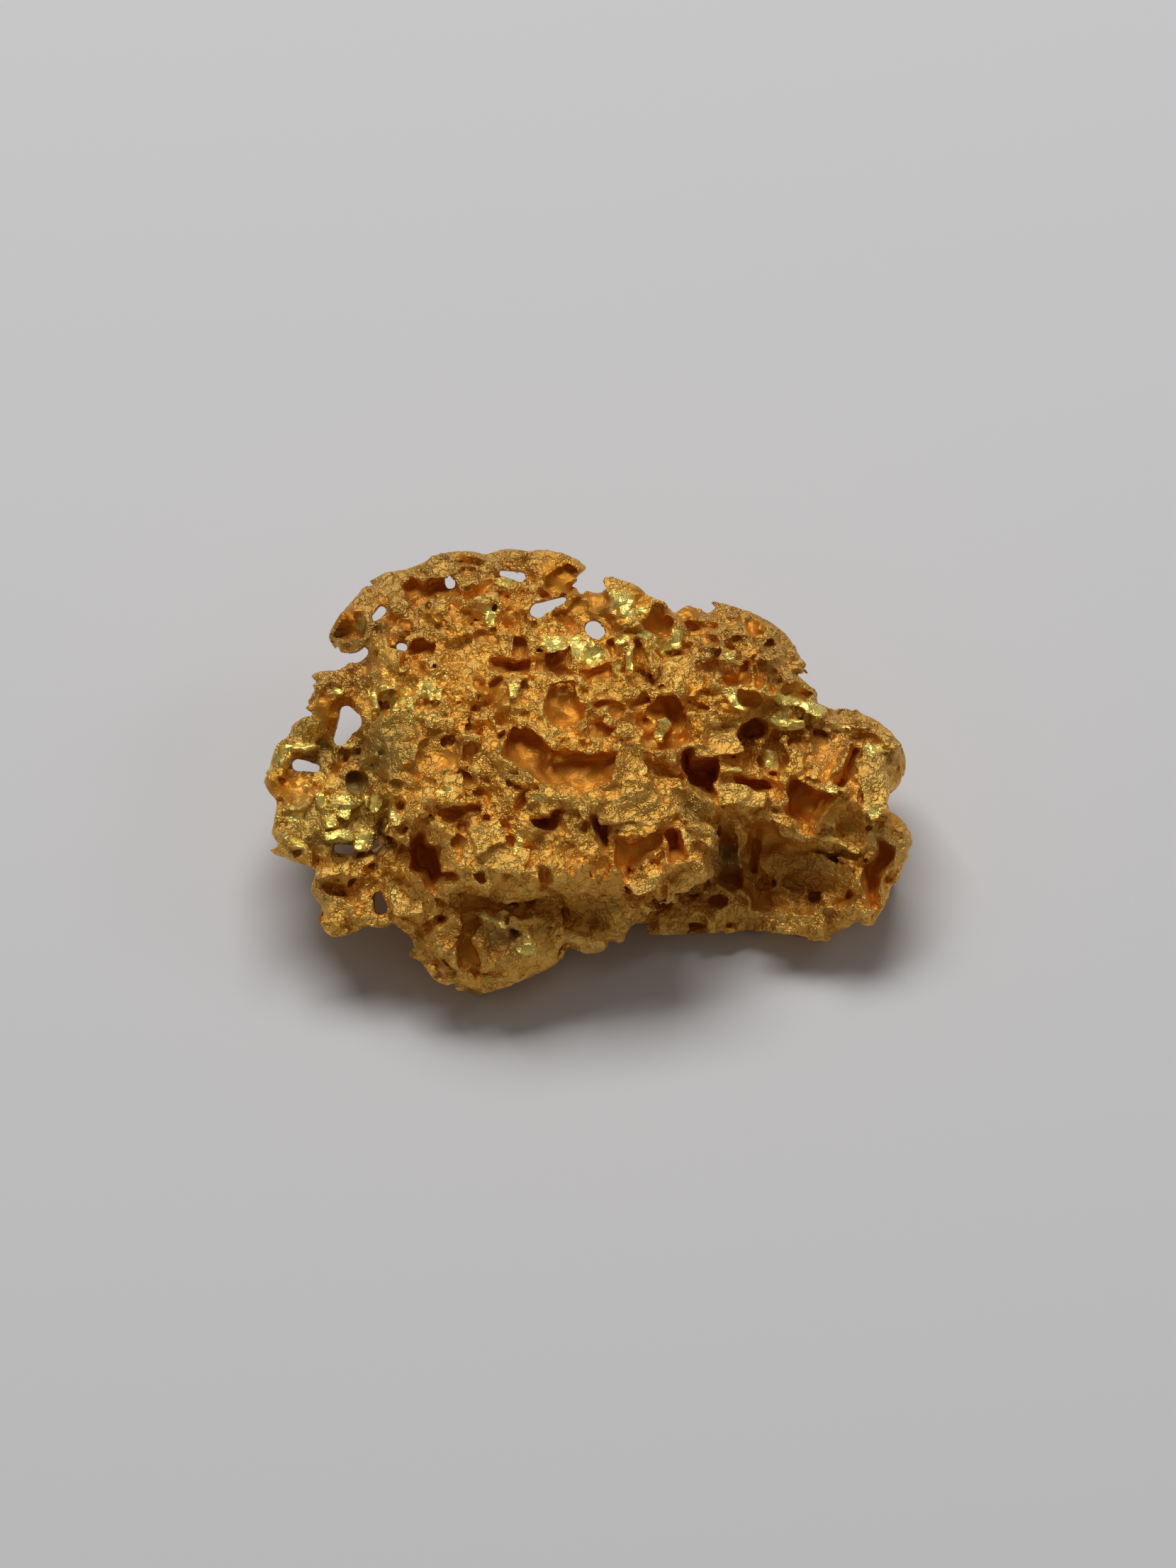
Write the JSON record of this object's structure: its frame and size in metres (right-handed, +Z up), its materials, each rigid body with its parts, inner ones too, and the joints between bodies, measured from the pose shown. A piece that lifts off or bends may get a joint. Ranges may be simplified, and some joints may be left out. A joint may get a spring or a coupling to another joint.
{
  "type": "gold nugget",
  "caption": "Lumpy spongy nugget of native gold with flat-sided hollows, thin perforated wings and flat spots that it rests on.",
  "frame": {"origin": "centre of the bounding box's bottom face, on the surface that the nugget lies on", "axes": "+X along the nugget's length, +Y towards its thin back wings, +Z up from the surface it lies on"},
  "size_m": [0.024, 0.017, 0.0084],
  "materials": {
    "gold": "Native gold: satin crinkled crust, smooth shiny hollows and small bright crystal faces."
  },
  "bodies": {
    "root": {"nugget": "gold"}
  },
  "joints": []
}
